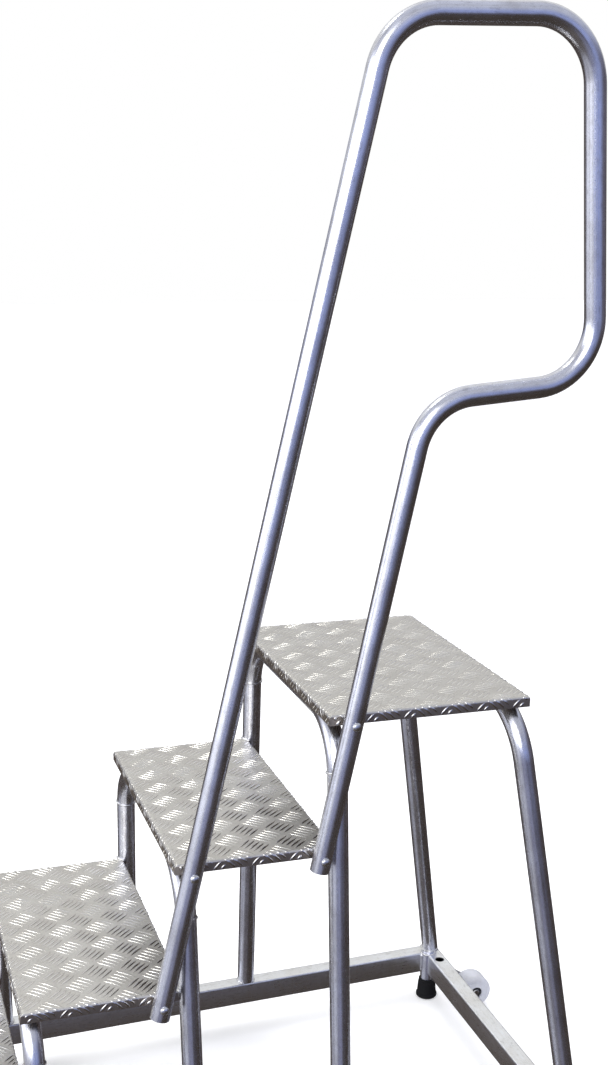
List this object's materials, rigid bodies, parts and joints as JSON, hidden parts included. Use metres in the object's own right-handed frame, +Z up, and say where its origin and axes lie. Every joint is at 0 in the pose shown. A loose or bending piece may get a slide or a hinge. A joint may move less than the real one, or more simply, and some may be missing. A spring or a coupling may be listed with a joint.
{
  "type": "mobile step stand",
  "caption": "Aluminium step stand with tread-plate steps on tube hoops, a box-tube base on rubber feet, tip-and-roll rear wheels and a bent handrail on the right.",
  "frame": {"origin": "on the floor, under the middle of the overall length and width", "axes": "+X to the climber's right, +Y the climbing direction, +Z up"},
  "size_m": [0.7746, 1.463, 2.1397],
  "materials": {
    "tread_plate": "folded five-bar tread plate",
    "mill_tube": "bright drawn tube",
    "box_rail": "mill-finish extrusion",
    "black_rubber": "moulded, matt",
    "nylon": "solid nylon wheel",
    "black_plastic": "moulded",
    "zinc": "zinc plated"
  },
  "bodies": {
    "stand": {"back_hoop": "mill_tube", "back_rail": "box_rail", "back_rail_cap_left": "black_plastic", "back_rail_cap_right": "black_plastic", "corner_post_back_left": "mill_tube", "corner_post_back_right": "mill_tube", "corner_post_front_left": "mill_tube", "corner_post_front_right": "mill_tube", "front_rail": "box_rail", "front_rail_cap_left": "black_plastic", "front_rail_cap_right": "black_plastic", "handrail": "mill_tube", "handrail_bolt_front_high": "zinc", "handrail_bolt_front_low": "zinc", "handrail_bolt_rear_high": "zinc", "handrail_bolt_rear_low": "zinc", "handrail_nut_front_high": "zinc", "handrail_nut_front_low": "zinc", "handrail_nut_rear_high": "zinc", "handrail_nut_rear_low": "zinc", "handrail_spacer_front_high": "black_plastic", "handrail_spacer_front_low": "black_plastic", "handrail_spacer_rear_high": "black_plastic", "handrail_spacer_rear_low": "black_plastic", "hoop_1": "mill_tube", "hoop_2": "mill_tube", "hoop_3": "mill_tube", "hoop_4": "mill_tube", "platform_tread": "tread_plate", "rubber_foot_back_left": "black_rubber", "rubber_foot_back_right": "black_rubber", "rubber_foot_front_left": "black_rubber", "rubber_foot_front_right": "black_rubber", "side_rail_left": "box_rail", "side_rail_right": "box_rail", "tread_1": "tread_plate", "tread_2": "tread_plate", "tread_3": "tread_plate", "wheel_bolt_left": "zinc", "wheel_bolt_right": "zinc", "wheel_bracket_left": "box_rail", "wheel_bracket_right": "box_rail", "wheel_nut_left": "zinc", "wheel_nut_right": "zinc", "wheel_washer_left": "zinc", "wheel_washer_right": "zinc"},
    "wheel_left": {"wheel_left": "nylon"},
    "wheel_right": {"wheel_right": "nylon"}
  },
  "joints": [
    {"name": "wheel_left_spin", "type": "hinge", "parent": "stand", "child": "wheel_left", "pos_m": [-0.276, 0.6915, 0.045], "axis": [1, 0, 0], "continuous": true},
    {"name": "wheel_right_spin", "type": "hinge", "parent": "stand", "child": "wheel_right", "pos_m": [0.276, 0.6915, 0.045], "axis": [1, 0, 0], "continuous": true}
  ]
}
